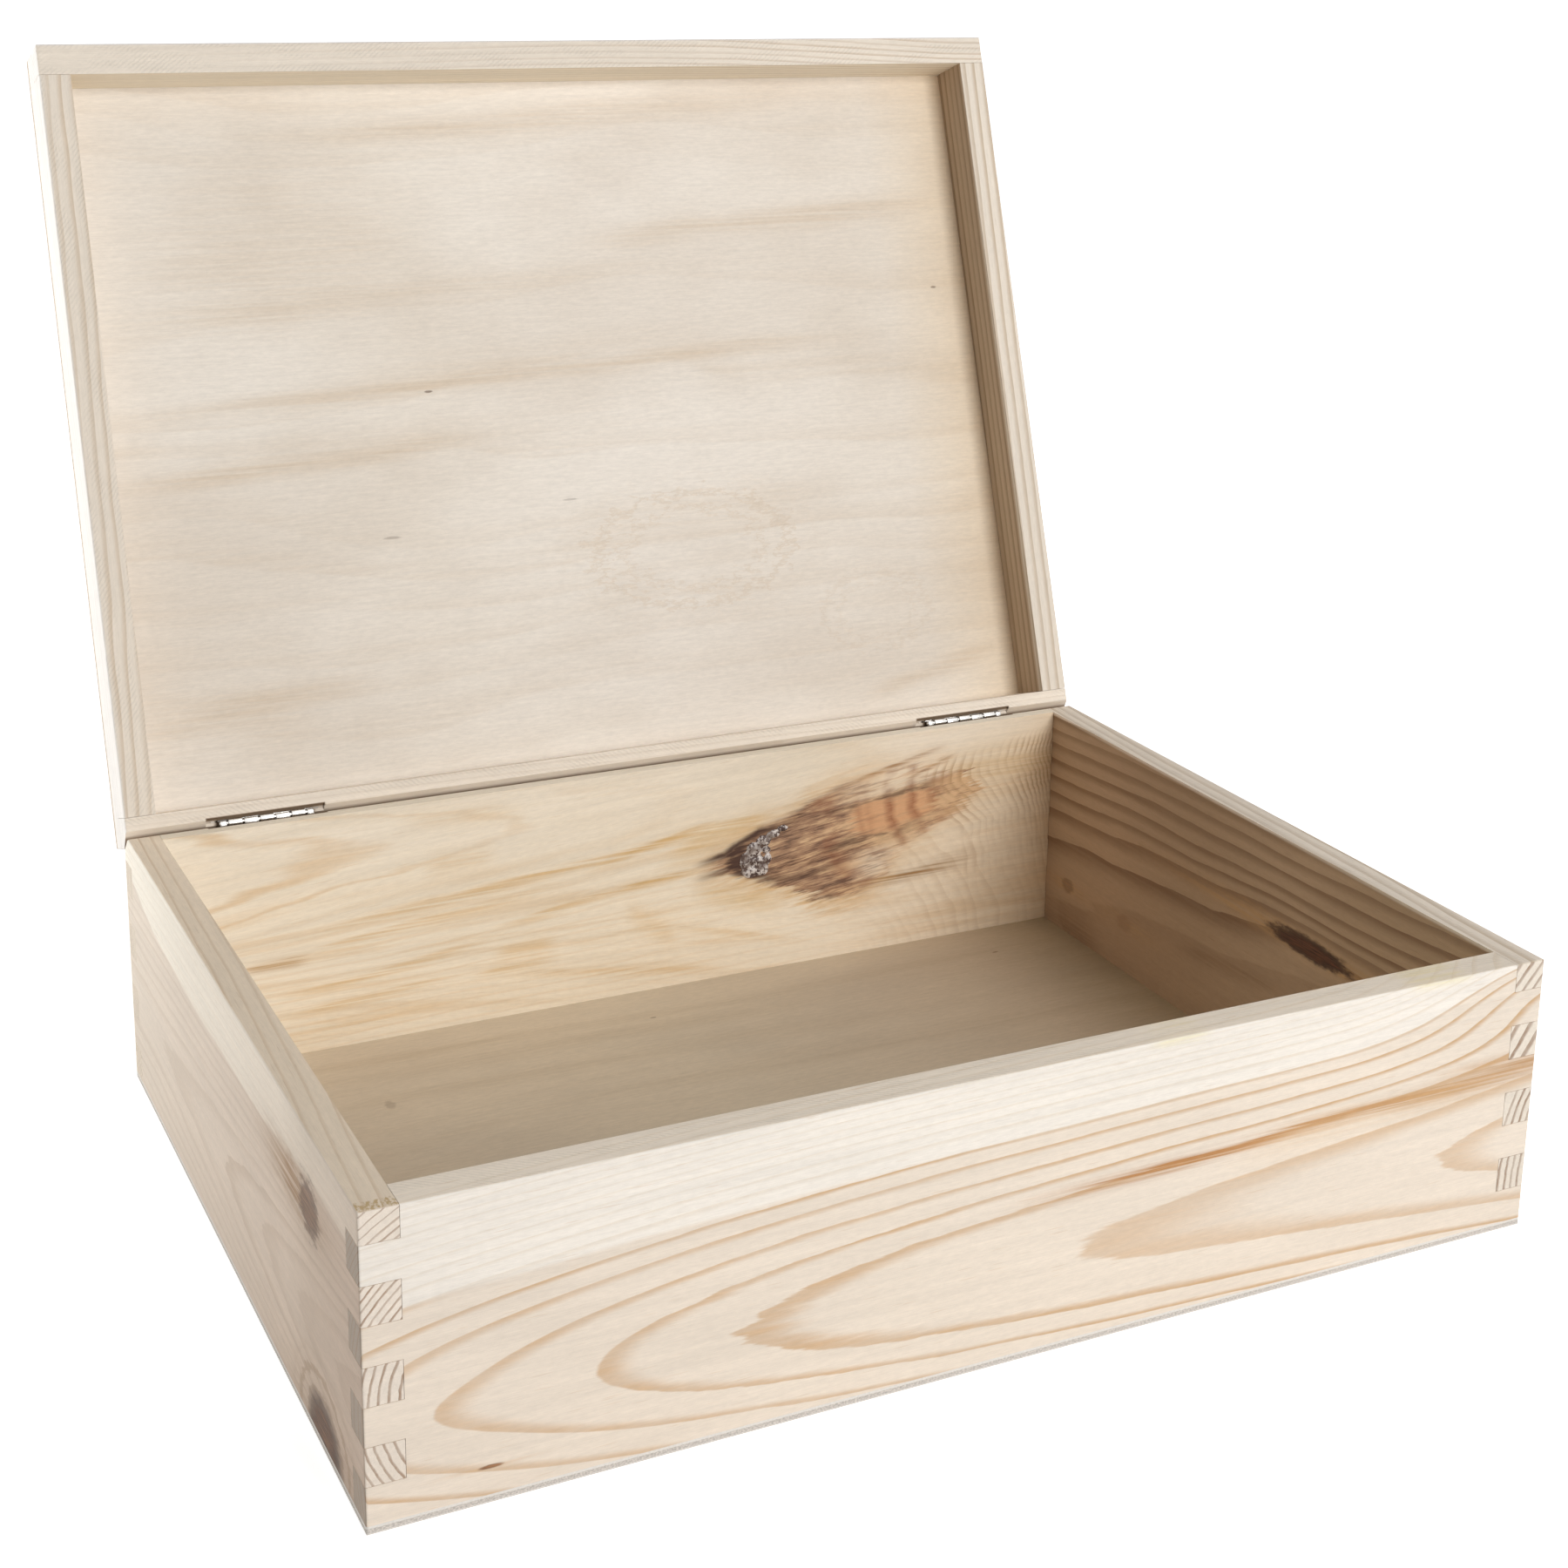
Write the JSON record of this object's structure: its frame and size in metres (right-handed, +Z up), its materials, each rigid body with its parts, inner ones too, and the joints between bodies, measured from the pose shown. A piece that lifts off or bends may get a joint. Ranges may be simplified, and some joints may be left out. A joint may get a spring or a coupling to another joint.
{
  "type": "document box",
  "caption": "Finger-jointed pine box for papers with a plywood base and a hinged lid that opens past upright and rests on its bevelled back edge.",
  "frame": {"origin": "middle of the base sheet's underside", "axes": "+X to the right as seen from the front, +Y from the front wall to the hinged back wall, +Z up"},
  "size_m": [0.35, 0.3587, 0.3265],
  "materials": {
    "pine": "bare, sanded",
    "plywood": "bare, sanded",
    "hinge_steel": "nickel plated"
  },
  "bodies": {
    "box": {"front_wall": "pine", "back_wall": "pine", "left_wall": "pine", "right_wall": "pine", "base_sheet": "plywood", "left_hinge_box_leaf": "hinge_steel", "left_hinge_pin": "hinge_steel", "right_hinge_box_leaf": "hinge_steel", "right_hinge_pin": "hinge_steel"},
    "lid": {"lid_front_rail": "pine", "lid_back_rail": "pine", "lid_left_rail": "pine", "lid_right_rail": "pine", "lid_top_sheet": "plywood", "left_hinge_lid_leaf": "hinge_steel", "right_hinge_lid_leaf": "hinge_steel"}
  },
  "joints": [
    {"name": "lid_hinge", "type": "hinge", "parent": "box", "child": "lid", "pos_m": [0, 0.126, 0.08465], "axis": [1, 0, 0], "range_deg": [0, 109]}
  ]
}
